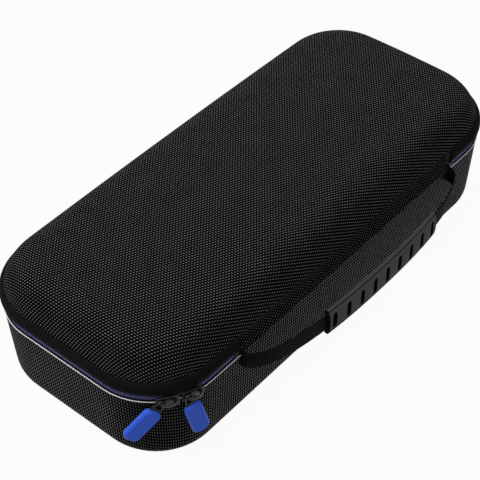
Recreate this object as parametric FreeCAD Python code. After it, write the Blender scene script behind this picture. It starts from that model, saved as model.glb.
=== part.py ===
import FreeCAD, Part
import math
import os

# Hard carrying case for a handheld game console.
# X runs along the case, the hinge and the carrying handle are on the -Y side, and Z is up.
# The origin is the centre of the underside, on the surface that the case stands on.

# Outline of both shells, measured over the rim of the base
CASE_LENGTH = 300.0
CASE_WIDTH = 132.0
CORNER_RADIUS = 38.0
SHELL_WALL = 3.5

# Base tray
BASE_DEPTH = 49.0
BASE_TAPER = 3.0
BASE_EDGE_RADIUS = 12.0

# Lid
LID_INSET = 1.0
LID_HEIGHT = 25.8
LID_EDGE_RADIUS = 18.5
CROWN_RADIUS_ACROSS = 1000.0
CROWN_RADIUS_ALONG = 6000.0

# Piping on the rim of the base
PIPING_HEIGHT = 0.9
PIPING_WIDTH = 1.6
PIPING_PROUD = 0.3

# Zip, from the base upwards
COIL_HEIGHT = 1.25
COIL_WIDTH = 2.3
COIL_RECESS = 0.7
ZIP_GAP = 0.6
TAPE_THICKNESS = 0.8
TAPE_DROP = 9.0
BAND_HEIGHT = 9.0
BAND_PROUD = 1.2
BAND_EDGE = 0.4
STOP_LENGTH = 3.6
STOP_HEIGHT = 1.4
STOP_COVER = 0.3

# Fabric hinge between the two ends of the zip
HINGE_SPAN = 185.0
HINGE_CENTRE = 2.5
HINGE_SHEET = 1.2
HINGE_GROOVE = 2.6
HINGE_FOOT_INSET = 0.4
CREASE_GAP = 0.25
HINGE_END_GAP = 0.3

# Carrying strap and its grip
STRAP_WIDTH = 10.6
STRAP_THICKNESS = 1.1
STRAP_SPAN = 184.0
STRAP_REACH = 19.8
STRAP_FULLNESS = 2.3
STRAP_DROP = 2.8
GRIP_LENGTH = 97.0
GRIP_HEIGHT = 16.8
GRIP_SKIN = 2.0
GRIP_BACK = 0.4
GRIP_ROUNDING = 0.5
GRIP_SHIFT = 3.2
SLOT_COUNT = 9
SLOT_PITCH = 11.0
SLOT_LENGTH = 10.2
SLOT_WIDTH = 2.8

# Zip sliders, parked nose to nose on the corner beside the hinge
SLIDER_LENGTH = 12.2
SLIDER_ABOVE = 3.0
SLIDER_BELOW = 3.8
SLIDER_TAPER = 0.9
SLIDER_PLATE = 1.2
SLIDER_CORNER = 1.2
SLIDER_CLEARANCE = 0.4
NOSE_GAP = 0.5
NOSE_ANGLE = -118.2
WEB_LENGTH = 3.6
WEB_THICKNESS = 0.3
WING_LENGTH = 7.6
WING_DROP = 4.0
BRIDGE_LEG_RADIUS = 1.0
BRIDGE_LEG_SETBACK = 2.5
BRIDGE_OPENING = 2.1
BRIDGE_BAR = 0.7
BRIDGE_ARCH = 0.8
BRIDGE_WIDTH = 2.2

# Pulls hanging from the sliders
EYE_RADIUS = 2.3
EYE_CLEARANCE = 0.25
LOOP_WIDTH = 6.4
LOOP_BAR = 1.4
LOOP_SUNK = 1.0
LINK_THICKNESS = 1.2
LINK_CLEARANCE = 0.3
SHANK_WIDTH = 3.0
SHANK_SUNK = 7.0
TAB_START = 4.8
TAB_LENGTH = 22.5
TAB_WIDTH = 9.6
TAB_THICKNESS = 3.4
TAB_CORNER = 3.6
TAB_BEVEL = 0.9
TAB_BACK = 0.4
LEFT_LEAN = -40.0
RIGHT_LEAN = 13.0

# Inside: mesh pocket in the lid and elastic hold-down strap in the base
MESH_THICKNESS = 1.0
MESH_HEIGHT = 4.0
POCKET_MOUTH = 22.0
HEM_WIDTH = 6.0
HEM_THICKNESS = 2.4
HEM_ROUNDING = 1.0
HOLD_STRAP_WIDTH = 25.0
HOLD_STRAP_THICKNESS = 1.5
HOLD_STRAP_RISE = 30.0
HOLD_STRAP_LAP = 24.0
HOLD_STRAP_SEAM = 2.0
HOLD_STRAP_GAP = 0.5

# Heights worked out from the stack
RIM_Z = BASE_DEPTH
COIL_Z = RIM_Z + PIPING_HEIGHT
ZIP_Z = COIL_Z + COIL_HEIGHT + ZIP_GAP / 2
LID_COIL_Z = ZIP_Z + ZIP_GAP / 2
LID_RIM_Z = LID_COIL_Z + COIL_HEIGHT
CREASE_Z = LID_RIM_Z + BAND_HEIGHT
LID_TOP_Z = LID_RIM_Z + LID_HEIGHT
STRAP_Z = RIM_Z - STRAP_DROP

# Places worked out from the outline
HALF_LENGTH = CASE_LENGTH / 2
HALF_WIDTH = CASE_WIDTH / 2
CORNER_X = HALF_LENGTH - CORNER_RADIUS
CORNER_Y = HALF_WIDTH - CORNER_RADIUS
ZIP_END_LEFT = HINGE_CENTRE - HINGE_SPAN / 2
ZIP_END_RIGHT = HINGE_CENTRE + HINGE_SPAN / 2
LID_WALL_INSET = LID_INSET + SHELL_WALL

# Over-travel of cutting tools past the faces that they open
CUT_OVER = 2.0

# How near two values are when they count as the same, and how finely the bowed strap is drawn
NEAR = 0.1
BOW_STEPS = 24
SLOPE_STEP = 0.5

V = FreeCAD.Vector
UP = V(0, 0, 1)
ALONG = V(1, 0, 0)
ACROSS = V(0, 1, 0)


def box(x_low, x_high, y_low, y_high, z_low, z_high):
    return Part.makeBox(x_high - x_low, y_high - y_low, z_high - z_low, V(x_low, y_low, z_low))


def outline(inset, z):
    """Closed wire of the case outline, moved in by inset, at height z."""
    radius = CORNER_RADIUS - inset
    x, y = HALF_LENGTH - inset, HALF_WIDTH - inset
    corners = [(CORNER_X, CORNER_Y, 0), (-CORNER_X, CORNER_Y, 90),
               (-CORNER_X, -CORNER_Y, 180), (CORNER_X, -CORNER_Y, 270)]
    sides = [(V(x, -CORNER_Y, z), V(x, CORNER_Y, z)), (V(CORNER_X, y, z), V(-CORNER_X, y, z)),
             (V(-x, CORNER_Y, z), V(-x, -CORNER_Y, z)), (V(-CORNER_X, -y, z), V(CORNER_X, -y, z))]
    edges = []
    for (start, end), (centre_x, centre_y, angle) in zip(sides, corners):
        edges.append(Part.makeLine(start, end))
        edges.append(Part.makeCircle(radius, V(centre_x, centre_y, z), UP, angle, angle + 90))
    return Part.Wire(edges)


def prism(inset, z_low, z_high):
    return Part.Face(outline(inset, z_low)).extrude(V(0, 0, z_high - z_low))


def wall_inset(z):
    """How far the tapered base wall stands in from the rim at height z."""
    return BASE_TAPER * (1 - z / BASE_DEPTH)


def tray(offset, z_low, z_high):
    """Tapered block that follows the base wall, moved in by offset."""
    wires = [outline(wall_inset(z) + offset, z) for z in (z_low, z_high)]
    return Part.makeLoft(wires, True, True)


def level_edges(shape, z_low, z_high):
    """Edges that lie wholly between two heights."""
    return [e for e in shape.Edges if e.BoundBox.ZMin > z_low and e.BoundBox.ZMax < z_high]


def rounded_tray(offset, z_low, z_high):
    block = tray(offset, z_low, z_high)
    return block.makeFillet(BASE_EDGE_RADIUS - offset, level_edges(block, z_low - NEAR, z_low + NEAR))


def make_base_shell():
    return rounded_tray(0, 0, RIM_Z).cut(rounded_tray(SHELL_WALL, SHELL_WALL, RIM_Z + CUT_OVER))


def lid_block(offset, z_low):
    """Crowned block of the lid, moved in by offset on every side but the open one."""
    top = LID_TOP_Z - offset
    crown = Part.makeTorus(CROWN_RADIUS_ALONG - CROWN_RADIUS_ACROSS, CROWN_RADIUS_ACROSS,
                           V(0, 0, top - CROWN_RADIUS_ALONG), ACROSS)
    block = prism(LID_INSET + offset, z_low, top + CUT_OVER).common(crown)
    upper = level_edges(block, (LID_RIM_Z + LID_TOP_Z) / 2, top + CUT_OVER)
    return block.makeFillet(LID_EDGE_RADIUS - offset, upper)


def make_lid_shell():
    shell = lid_block(0, LID_RIM_Z).cut(lid_block(SHELL_WALL, LID_RIM_Z - CUT_OVER))
    y_low, y_high = -HALF_WIDTH - CUT_OVER, -HALF_WIDTH + LID_WALL_INSET + CUT_OVER
    notch = box(ZIP_END_LEFT, ZIP_END_RIGHT, y_low, y_high, LID_RIM_Z - CUT_OVER, CREASE_Z)
    return shell.cut(notch)


def zip_path(trim):
    """Open wire round the case from one end of the zip to the other, at height 0."""
    edges = [Part.makeLine(V(ZIP_END_RIGHT + trim, -HALF_WIDTH, 0), V(CORNER_X, -HALF_WIDTH, 0)),
             Part.makeCircle(CORNER_RADIUS, V(CORNER_X, -CORNER_Y, 0), UP, 270, 360),
             Part.makeLine(V(HALF_LENGTH, -CORNER_Y, 0), V(HALF_LENGTH, CORNER_Y, 0)),
             Part.makeCircle(CORNER_RADIUS, V(CORNER_X, CORNER_Y, 0), UP, 0, 90),
             Part.makeLine(V(CORNER_X, HALF_WIDTH, 0), V(-CORNER_X, HALF_WIDTH, 0)),
             Part.makeCircle(CORNER_RADIUS, V(-CORNER_X, CORNER_Y, 0), UP, 90, 180),
             Part.makeLine(V(-HALF_LENGTH, CORNER_Y, 0), V(-HALF_LENGTH, -CORNER_Y, 0)),
             Part.makeCircle(CORNER_RADIUS, V(-CORNER_X, -CORNER_Y, 0), UP, 180, 270),
             Part.makeLine(V(-CORNER_X, -HALF_WIDTH, 0), V(ZIP_END_LEFT - trim, -HALF_WIDTH, 0))]
    return Part.Wire(edges)


def zip_ring(section, trim=0.0):
    """Sweep a section along the zip. Its points are (inset, height), and a triple of points is an arc."""
    x = ZIP_END_RIGHT + trim

    def place(point):
        return V(x, -HALF_WIDTH + point[0], point[1])

    edges = []
    for piece in section:
        points = [place(p) for p in piece]
        edges.append(Part.Arc(*points).toShape() if len(points) == 3 else Part.makeLine(*points))
    return zip_path(trim).makePipeShell([Part.Wire(edges)], True, False)


def polygon(points):
    """Straight pieces of a closed section."""
    return [(a, b) for a, b in zip(points, points[1:] + points[:1])]


def make_base_piping():
    back = PIPING_WIDTH - PIPING_PROUD
    front = PIPING_HEIGHT / 2 - PIPING_PROUD
    top = RIM_Z + PIPING_HEIGHT
    nose = ((front, RIM_Z), (-PIPING_PROUD, RIM_Z + PIPING_HEIGHT / 2), (front, top))
    return zip_ring([nose, ((front, top), (back, top)), ((back, top), (back, RIM_Z)),
                     ((back, RIM_Z), (front, RIM_Z))])


def make_base_tape():
    """Woven half of the zip on the base: it lies on the rim and runs down inside the wall."""
    front = PIPING_WIDTH - PIPING_PROUD
    low = RIM_Z - TAPE_DROP
    wall = SHELL_WALL + wall_inset(low)
    points = [(front, RIM_Z), (SHELL_WALL, RIM_Z), (wall, low), (wall + TAPE_THICKNESS, low),
              (SHELL_WALL + TAPE_THICKNESS, RIM_Z), (SHELL_WALL + TAPE_THICKNESS, COIL_Z), (front, COIL_Z)]
    return zip_ring(polygon(points))


def coil(z_low, trim):
    """One half of the zip's coil, standing on height z_low."""
    inner = COIL_RECESS + COIL_WIDTH
    z_high = z_low + COIL_HEIGHT
    points = [(COIL_RECESS, z_low), (inner, z_low), (inner, z_high), (COIL_RECESS, z_high)]
    return zip_ring(polygon(points), trim)


def make_zip_stops():
    """Small stops that close the base coil at both ends of the zip."""
    front = -HALF_WIDTH + COIL_RECESS - STOP_COVER
    back = -HALF_WIDTH + COIL_RECESS + COIL_WIDTH
    stops = []
    for end, way in ((ZIP_END_LEFT, -1), (ZIP_END_RIGHT, 1)):
        x_low, x_high = sorted((end, end + way * STOP_LENGTH))
        stop = box(x_low, x_high, front, back, COIL_Z, COIL_Z + STOP_HEIGHT)
        outer = [e for e in stop.Edges if abs(e.CenterOfMass.y - front) < NEAR]
        stops.append(stop.makeChamfer(STOP_COVER, outer))
    return Part.makeCompound(stops)


def make_lid_band():
    """Smooth rounded upper half of the zip, sewn round the lid."""
    low, high = LID_RIM_Z, CREASE_Z
    edge = LID_INSET - BAND_EDGE
    bulge = ((edge, high), (-BAND_PROUD, (low + high) / 2), (edge, low))
    return zip_ring([((LID_INSET, low), (LID_INSET, high)), ((LID_INSET, high), (edge, high)), bulge,
                     ((edge, low), (LID_INSET, low))])


def make_hinge_strip():
    """Fabric spine: a shallow groove that stands on the base rim and ends at the crease of the lid."""
    def curve(inset_low, inset_top, groove):
        middle = (RIM_Z + top) / 2
        points = [(inset_low, RIM_Z), ((inset_low + inset_top) / 2 + groove, middle), (inset_top, top)]
        return Part.Arc(*[V(x_low, -HALF_WIDTH + inset, z) for inset, z in points]).toShape()

    top = CREASE_Z - CREASE_GAP
    x_low, x_high = ZIP_END_LEFT + HINGE_END_GAP, ZIP_END_RIGHT - HINGE_END_GAP
    outer = curve(HINGE_FOOT_INSET, LID_INSET, HINGE_GROOVE)
    inner = curve(HINGE_FOOT_INSET + HINGE_SHEET, LID_INSET + HINGE_SHEET, HINGE_GROOVE)
    ends = [Part.makeLine(outer.Vertexes[i].Point, inner.Vertexes[i].Point) for i in (0, 1)]
    section = Part.Wire(Part.__sortEdges__([outer, ends[1], inner, ends[0]]))
    return Part.Face(section).extrude(ALONG * (x_high - x_low))


def strap_depth(x, half_span, reach):
    """Distance of the bowed strap from the wall plane at x, measured from the middle of the handle."""
    share = min(abs(x) / half_span, 1.0)
    return reach * (1 - share ** STRAP_FULLNESS) ** (1 / STRAP_FULLNESS)


def bow(offset, z):
    """Plan curve of the strap's outer face, moved out by offset, from one root to the other."""
    half_span = STRAP_SPAN / 2 + offset
    reach = STRAP_REACH + offset
    points = []
    for i in range(BOW_STEPS + 1):
        turn = math.pi * i / BOW_STEPS
        across = math.copysign(abs(math.cos(turn)) ** (2 / STRAP_FULLNESS), math.cos(turn))
        out = math.sin(turn) ** (2 / STRAP_FULLNESS) if 0 < i < BOW_STEPS else 0.0
        points.append(V(HINGE_CENTRE - half_span * across, -HALF_WIDTH - reach * out, z))
    curve = Part.BSplineCurve()
    curve.interpolate(points)
    return curve.toShape()


def bowed_band(offset_in, offset_out, height):
    """Upright band between two bows, with its roots carried on into the wall."""
    z = STRAP_Z - height / 2
    outer, inner = bow(offset_out, z), bow(offset_in, z)
    root = V(0, SHELL_WALL, 0)
    left_out, right_out = outer.Vertexes[0].Point, outer.Vertexes[-1].Point
    left_in, right_in = inner.Vertexes[0].Point, inner.Vertexes[-1].Point
    corners = [right_out, right_out + root, right_in + root, right_in]
    right = [Part.makeLine(a, b) for a, b in zip(corners, corners[1:])]
    corners = [left_in, left_in + root, left_out + root, left_out]
    left = [Part.makeLine(a, b) for a, b in zip(corners, corners[1:])]
    wire = Part.Wire(Part.__sortEdges__([outer] + right + [inner] + left))
    return Part.Face(wire).extrude(V(0, 0, height))


def make_handle_strap():
    band = bowed_band(-STRAP_THICKNESS, 0, STRAP_WIDTH)
    return band.cut(tray(0, 0, CREASE_Z))


def slot_tool(x):
    """Upright round-ended cutter through the outer skin of the grip at x."""
    half_span = STRAP_SPAN / 2
    depth = strap_depth(x, half_span, STRAP_REACH)
    slope = (strap_depth(x + SLOPE_STEP, half_span, STRAP_REACH) - depth) / SLOPE_STEP
    half = (SLOT_LENGTH - SLOT_WIDTH) / 2
    radius = SLOT_WIDTH / 2
    reach = GRIP_SKIN + CUT_OVER
    length = reach + STRAP_THICKNESS / 2
    tool = box(-radius, radius, -reach, length - reach, -half, half)
    ends = [Part.makeCylinder(radius, length, V(0, -reach, z), ACROSS) for z in (-half, half)]
    tool = tool.fuse(ends)
    tool.rotate(V(0, 0, 0), UP, -math.degrees(math.atan(slope)))
    tool.translate(V(HINGE_CENTRE + x, -HALF_WIDTH - depth, STRAP_Z))
    return tool


def make_handle_grip(strap):
    """Moulded sleeve round the middle of the strap, with a row of upright slots in its face."""
    half = GRIP_LENGTH / 2
    sleeve = bowed_band(-STRAP_THICKNESS - GRIP_BACK, GRIP_SKIN, GRIP_HEIGHT)
    centre = HINGE_CENTRE + GRIP_SHIFT
    x_low, x_high = centre - half, centre + half
    middle = box(x_low, x_high, -CASE_WIDTH, -HALF_WIDTH, 0, LID_TOP_Z)
    sleeve = sleeve.common(middle)
    sleeve = sleeve.makeFillet(GRIP_ROUNDING, sleeve.Edges)
    first = GRIP_SHIFT - SLOT_PITCH * (SLOT_COUNT - 1) / 2
    slots = [slot_tool(first + SLOT_PITCH * i) for i in range(SLOT_COUNT)]
    return sleeve.cut([strap] + slots)


def slider_angle(side):
    """Angle on the corner at which a slider is parked, side being -1 for the left one."""
    half = math.degrees((SLIDER_LENGTH + NOSE_GAP) / 2 / CORNER_RADIUS)
    return NOSE_ANGLE + side * half


def onto_corner(shape, side):
    """Carry a shape from slider axes (out, along, up) to the parked slider's place on the corner."""
    shape.translate(V(CORNER_RADIUS, 0, 0))
    shape.rotate(V(0, 0, 0), UP, slider_angle(side))
    shape.translate(V(-CORNER_X, -CORNER_Y, ZIP_Z))
    return shape


PLATE_IN = PIPING_PROUD + SLIDER_CLEARANCE
PLATE_OUT = PLATE_IN + SLIDER_PLATE
BAR_IN = PLATE_OUT + BRIDGE_OPENING
BAR_OUT = BAR_IN + BRIDGE_BAR
LEG_Y = SLIDER_LENGTH / 2 - BRIDGE_LEG_SETBACK


def outward_edges(shape):
    """Straight edges that run along the out axis, before the shape is carried to the corner."""
    return [e for e in shape.Edges if abs(e.tangentAt(e.FirstParameter).x) > 1 - NEAR]


def slab(corners, out, thickness):
    """Flat plate on (along, up) corners, standing out from the slider's axes."""
    points = [V(out, along, up) for along, up in corners]
    return Part.Face(Part.makePolygon(points + points[:1])).extrude(ALONG * thickness)


def make_slider(side):
    """Cast slider: tapered face plate, bridge on two round legs, web and wing behind the tape."""
    nose, tail = -side * SLIDER_LENGTH / 2, side * SLIDER_LENGTH / 2
    corners = [(nose, -SLIDER_BELOW), (nose, SLIDER_ABOVE),
               (tail, SLIDER_ABOVE - SLIDER_TAPER), (tail, SLIDER_TAPER - SLIDER_BELOW)]
    plate = slab(corners, PLATE_IN, SLIDER_PLATE)
    plate = plate.makeFillet(SLIDER_CORNER, outward_edges(plate))
    ends = V(0, LEG_Y + BRIDGE_LEG_RADIUS, -BRIDGE_WIDTH / 2)
    arch = [V(BAR_IN, -ends.y, ends.z), V(BAR_OUT, -ends.y, ends.z), V(BAR_OUT + BRIDGE_ARCH, 0, ends.z),
            V(BAR_OUT, ends.y, ends.z), V(BAR_IN, ends.y, ends.z)]
    bar_edges = [Part.makeLine(arch[0], arch[1]), Part.Arc(arch[1], arch[2], arch[3]).toShape(),
                 Part.makeLine(arch[3], arch[4]), Part.makeLine(arch[4], arch[0])]
    bar = Part.Face(Part.Wire(bar_edges)).extrude(V(0, 0, BRIDGE_WIDTH))
    legs = [Part.makeCylinder(BRIDGE_LEG_RADIUS, BRIDGE_OPENING + BRIDGE_BAR / 2, V(PLATE_OUT, y, 0), ALONG)
            for y in (-LEG_Y, LEG_Y)]
    sagitta = WING_LENGTH ** 2 / (8 * (CORNER_RADIUS - SHELL_WALL))
    tape_back = SHELL_WALL + wall_inset(ZIP_Z - WING_DROP) + TAPE_THICKNESS
    wing_out = -tape_back - SLIDER_CLEARANCE - sagitta
    wing_in = wing_out - SLIDER_PLATE
    web_top = WEB_THICKNESS / 2
    web = box(wing_in, PLATE_IN, -WEB_LENGTH / 2, WEB_LENGTH / 2, -web_top, web_top)
    wing = box(wing_in, wing_out, -WING_LENGTH / 2, WING_LENGTH / 2, -WING_DROP, web_top)
    return onto_corner(plate.fuse([bar, web, wing] + legs).removeSplitter(), side)


LINK_IN = PLATE_OUT + LINK_CLEARANCE + TAB_BACK
LINK_OUT = LINK_IN + LINK_THICKNESS


def lean(shape, side, angle):
    """Hang a shape, drawn downwards from the eye, at an angle from the slider's rear leg."""
    shape.rotate(V(0, 0, 0), ALONG, angle)
    shape.translate(V(0, -LEG_Y, 0))
    return onto_corner(shape, side)


def eye_blank(radius, half_low, z_low):
    """Round eye that widens downwards to a straight edge at z_low."""
    eye = Part.makeCylinder(radius, LINK_THICKNESS, V(LINK_IN, 0, 0), ALONG)
    corners = [(radius, 0), (-radius, 0), (-half_low, z_low), (half_low, z_low)]
    return eye.fuse(slab(corners, LINK_IN, LINK_THICKNESS))


def link_blank():
    """Flat loop and shank, drawn downwards from the middle of the eye."""
    hole_radius = BRIDGE_LEG_RADIUS + EYE_CLEARANCE
    hole_half = LOOP_WIDTH / 2 - EYE_RADIUS + hole_radius
    loop = eye_blank(EYE_RADIUS, LOOP_WIDTH / 2, -TAB_START - LOOP_SUNK)
    hole = eye_blank(hole_radius, hole_half, -TAB_START + LOOP_BAR)
    half = SHANK_WIDTH / 2
    shank = box(LINK_IN, LINK_OUT, -half, half, -TAB_START - SHANK_SUNK, -TAB_START)
    return loop.fuse(shank).removeSplitter().cut(hole)


def tab_blank():
    """Bevelled grip moulded round the shank."""
    back = LINK_IN - TAB_BACK
    half = TAB_WIDTH / 2
    tab = box(back, back + TAB_THICKNESS, -half, half, -TAB_START - TAB_LENGTH, -TAB_START)
    tab = tab.makeFillet(TAB_CORNER, outward_edges(tab))
    front = [e for e in tab.Edges if e.BoundBox.XMin > back + TAB_THICKNESS / 2]
    return tab.makeChamfer(TAB_BEVEL, front).cut(link_blank())


def make_pocket_mesh():
    """Mesh sheet sewn inside the lid, open along the hinge side."""
    z_low = LID_RIM_Z + MESH_HEIGHT
    mouth = -HALF_WIDTH + LID_WALL_INSET + POCKET_MOUTH
    sheet = box(-HALF_LENGTH, HALF_LENGTH, mouth, HALF_WIDTH, z_low, z_low + MESH_THICKNESS)
    return lid_block(SHELL_WALL, LID_RIM_Z).common(sheet)


def make_pocket_hem():
    """Elastic edge of the mesh pocket, folded over the mouth of the sheet."""
    z_middle = LID_RIM_Z + MESH_HEIGHT + MESH_THICKNESS / 2
    z_low, z_high = z_middle - HEM_THICKNESS / 2, z_middle + HEM_THICKNESS / 2
    edge = -HALF_WIDTH + LID_WALL_INSET + POCKET_MOUTH
    strip = box(-HALF_LENGTH, HALF_LENGTH, edge - HEM_WIDTH, edge, z_low, z_high)
    front = [e for e in strip.Edges if e.BoundBox.YMax < edge - HEM_WIDTH + NEAR and e.Length > HEM_WIDTH]
    return lid_block(SHELL_WALL, LID_RIM_Z).common(strip.makeFillet(HEM_ROUNDING, front))


def strap_layer(number):
    """Thin layer over the inside of the base tray, number 0 lying on the wall itself."""
    shell = SHELL_WALL + number * HOLD_STRAP_THICKNESS
    deeper = shell + HOLD_STRAP_THICKNESS
    return rounded_tray(shell, shell, RIM_Z).cut(rounded_tray(deeper, deeper, RIM_Z + CUT_OVER))


def strap_window(y_low, y_high):
    half = HOLD_STRAP_WIDTH / 2
    return box(-half, half, y_low, y_high, 0, HOLD_STRAP_RISE)


def make_hold_strap_rear():
    """Elastic tail from the hinge wall, lying on the floor of the tray."""
    return strap_layer(0).common(strap_window(-HALF_WIDTH, HOLD_STRAP_LAP / 2))


def make_hold_strap_front():
    """Elastic tail from the front wall, lapped over the other tail in the middle."""
    start = HOLD_STRAP_LAP / 2 + HOLD_STRAP_GAP
    lower = strap_layer(0).common(strap_window(start, HALF_WIDTH))
    upper = strap_layer(1).common(strap_window(-HOLD_STRAP_LAP / 2, start + HOLD_STRAP_SEAM))
    return lower.fuse(upper).removeSplitter()


def make_all():
    strap = make_handle_strap()
    parts = {
        "base_shell": make_base_shell(),
        "base_piping": make_base_piping(),
        "zip_tape_base": make_base_tape(),
        "zip_coil_base": coil(COIL_Z, STOP_LENGTH),
        "zip_stops": make_zip_stops(),
        "hinge_strip": make_hinge_strip(),
        "handle_strap": strap,
        "handle_grip": make_handle_grip(strap),
        "hold_strap_rear": make_hold_strap_rear(),
        "hold_strap_front": make_hold_strap_front(),
        "lid_shell": make_lid_shell(),
        "lid_band": make_lid_band(),
        "zip_coil_lid": coil(LID_COIL_Z, 0.0),
        "pocket_mesh": make_pocket_mesh(),
        "pocket_hem": make_pocket_hem(),
    }
    for name, side, angle in (("left", -1, LEFT_LEAN), ("right", 1, RIGHT_LEAN)):
        parts["slider_" + name] = make_slider(side)
        parts["pull_link_" + name] = lean(link_blank(), side, angle)
        parts["pull_tab_" + name] = lean(tab_blank(), side, angle)
    return parts


os.makedirs("parts", exist_ok=True)
for node, shape in make_all().items():
    shape.exportStep("parts/" + node + ".step")
    print(node, len(shape.Solids), "solids", "%.0f mm3" % shape.Volume, "valid", shape.isValid())
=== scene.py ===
import math
import bmesh
import bpy
from mathutils import Matrix, Vector


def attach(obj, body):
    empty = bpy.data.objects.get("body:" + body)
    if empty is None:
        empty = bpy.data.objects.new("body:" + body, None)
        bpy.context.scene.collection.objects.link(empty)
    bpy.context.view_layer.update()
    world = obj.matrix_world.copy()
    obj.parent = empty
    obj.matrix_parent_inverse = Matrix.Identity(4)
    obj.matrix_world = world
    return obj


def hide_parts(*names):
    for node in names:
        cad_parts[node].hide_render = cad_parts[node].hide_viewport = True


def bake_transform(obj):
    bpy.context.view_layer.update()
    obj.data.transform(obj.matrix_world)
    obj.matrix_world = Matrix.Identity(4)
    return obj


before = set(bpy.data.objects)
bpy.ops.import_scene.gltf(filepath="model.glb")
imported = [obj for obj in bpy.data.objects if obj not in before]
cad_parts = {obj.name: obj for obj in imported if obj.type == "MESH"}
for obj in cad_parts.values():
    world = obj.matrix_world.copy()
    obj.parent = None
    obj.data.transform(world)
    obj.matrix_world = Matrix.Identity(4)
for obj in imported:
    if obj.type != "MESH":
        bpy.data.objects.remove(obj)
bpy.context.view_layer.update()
print("frame loaded with", len(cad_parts), "nodes")

mm = 0.001

# sizes of the case in mm, the same as the solids
case = dict(
    halfLength=150.0, halfWidth=66.0, corner=38.0, wall=3.5, rimZ=49.0, taper=3.0, footRadius=12.0,
    pipingTop=49.9, coilTop=51.15, zipZ=51.45, lidCoilLow=51.75, lidRimZ=53.0, creaseZ=62.0, lidTopZ=78.8,
    lidInset=1.0, shoulder=18.5, crownAlong=6000.0, crownAcross=1000.0,
    zipLeft=-90.0, zipRight=95.0, hingeMid=2.5, strapZ=46.2)
cornerX = case["halfLength"] - case["corner"]
cornerY = case["halfWidth"] - case["corner"]


# helpers for lines and loops

def steps(start, end, count):
    return [start + (end - start) * i / count for i in range(count + 1)]


def polar(radius, angle):
    return radius * math.cos(math.radians(angle)), radius * math.sin(math.radians(angle))


def runLengths(points):
    walked = [0.0]
    for a, b in zip(points, points[1:]):
        walked.append(walked[-1] + math.dist(a, b))
    return walked


# a rectangle with round corners, from its right side up over the top
def roundedLoop(left, right, low, high, radius, count):
    loop = []
    for x, y, start in ((right - radius, high - radius, 0.0), (left + radius, high - radius, 90.0),
                        (left + radius, low + radius, 180.0), (right - radius, low + radius, 270.0)):
        for angle in steps(start, start + 90.0, count):
            dx, dy = polar(radius, angle)
            loop.append((x + dx, y + dy))
    return loop


# a closed skin over rings of equal length: it comes round to the first ring or has both ends capped
def loft(rings, looped=False):
    wide, count = len(rings[0]), len(rings)
    faces = []
    for j in range(count if looped else count - 1):
        m = (j + 1) % count
        for i in range(wide):
            k = (i + 1) % wide
            faces.append((j * wide + i, j * wide + k, m * wide + k, m * wide + i))
    if not looped:
        faces += [tuple(range(wide)), tuple(range((count - 1) * wide, count * wide))]
    return [p for ring in rings for p in ring], faces


# helpers for meshes

def addPiece(name, data, *finishes):
    piece = bpy.data.objects.new(name, data)
    bpy.context.scene.collection.objects.link(piece)
    for finish in finishes:
        data.materials.append(finish)
    return piece


def smooth(piece, sharp):
    for face in piece.data.polygons:
        face.use_smooth = True
    piece.data.set_sharp_from_angle(angle=math.radians(sharp))


def storeWork(work, mesh):
    bmesh.ops.recalc_face_normals(work, faces=work.faces)
    work.to_mesh(mesh)
    work.free()


def addMesh(name, shape, *finishes, sharp=40.0, closed=True):
    points, faces = shape
    mesh = bpy.data.meshes.new(name)
    mesh.from_pydata([(x * mm, y * mm, z * mm) for x, y, z in points], [], faces)
    if closed:
        work = bmesh.new()
        work.from_mesh(mesh)
        storeWork(work, mesh)
    piece = addPiece(name, mesh, *finishes)
    smooth(piece, sharp)
    return piece


# each point's place on the flat cloth in mm, and how much painted shade darkens the cloth there
def markCloth(piece, spots, domain="POINT"):
    layer = piece.data.attributes.new("clothAt", "FLOAT_VECTOR", domain)
    for item, place in zip(layer.data, spots):
        item.vector = place if len(place) == 3 else (*place, 0.0)


# the foam or yarn gets its thickness, and the modifier is applied
def thicken(piece, thickness, offset, even=False, innerSlot=0, sharp=50.0):
    thick = piece.modifiers.new("thick", "SOLIDIFY")
    thick.thickness = thickness * mm
    thick.offset = offset
    thick.use_even_offset = even
    thick.material_offset = innerSlot
    thick.material_offset_rim = innerSlot
    graph = bpy.context.evaluated_depsgraph_get()
    mesh = bpy.data.meshes.new_from_object(piece.evaluated_get(graph))
    piece.modifiers.clear()
    piece.data = mesh
    smooth(piece, sharp)
    return piece


def mount(piece, body, slot, *nodes):
    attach(piece, body)
    if nodes:
        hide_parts(*nodes)


# helpers for materials

def newFinish(name, **values):
    finish = bpy.data.materials.new(name)
    finish.use_nodes = True
    shader = finish.node_tree.nodes["Principled BSDF"]
    for key, value in values.items():
        shader.inputs[key].default_value = value
    return finish, finish.node_tree, shader


def calc(tree, kind, *values):
    node = tree.nodes.new("ShaderNodeMath")
    node.operation = kind
    for place, value in enumerate(values):
        if isinstance(value, (int, float)):
            node.inputs[place].default_value = value
        else:
            tree.links.new(value, node.inputs[place])
    return node.outputs[0]


def choose(tree, factor, first, second):
    node = tree.nodes.new("ShaderNodeMix")
    node.data_type = "FLOAT" if isinstance(first, float) else "RGBA"
    share, a, b = [s for s in node.inputs if s.enabled]
    tree.links.new(factor, share)
    a.default_value, b.default_value = first, second
    return next(s for s in node.outputs if s.enabled)


def noise(tree, scale, detail, low=0.0, high=1.0):
    place = tree.nodes.new("ShaderNodeTexCoord")
    node = tree.nodes.new("ShaderNodeTexNoise")
    node.inputs["Scale"].default_value = scale
    node.inputs["Detail"].default_value = detail
    tree.links.new(place.outputs["Object"], node.inputs["Vector"])
    return calc(tree, "MULTIPLY_ADD", node.outputs["Fac"], high - low, low)


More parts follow.
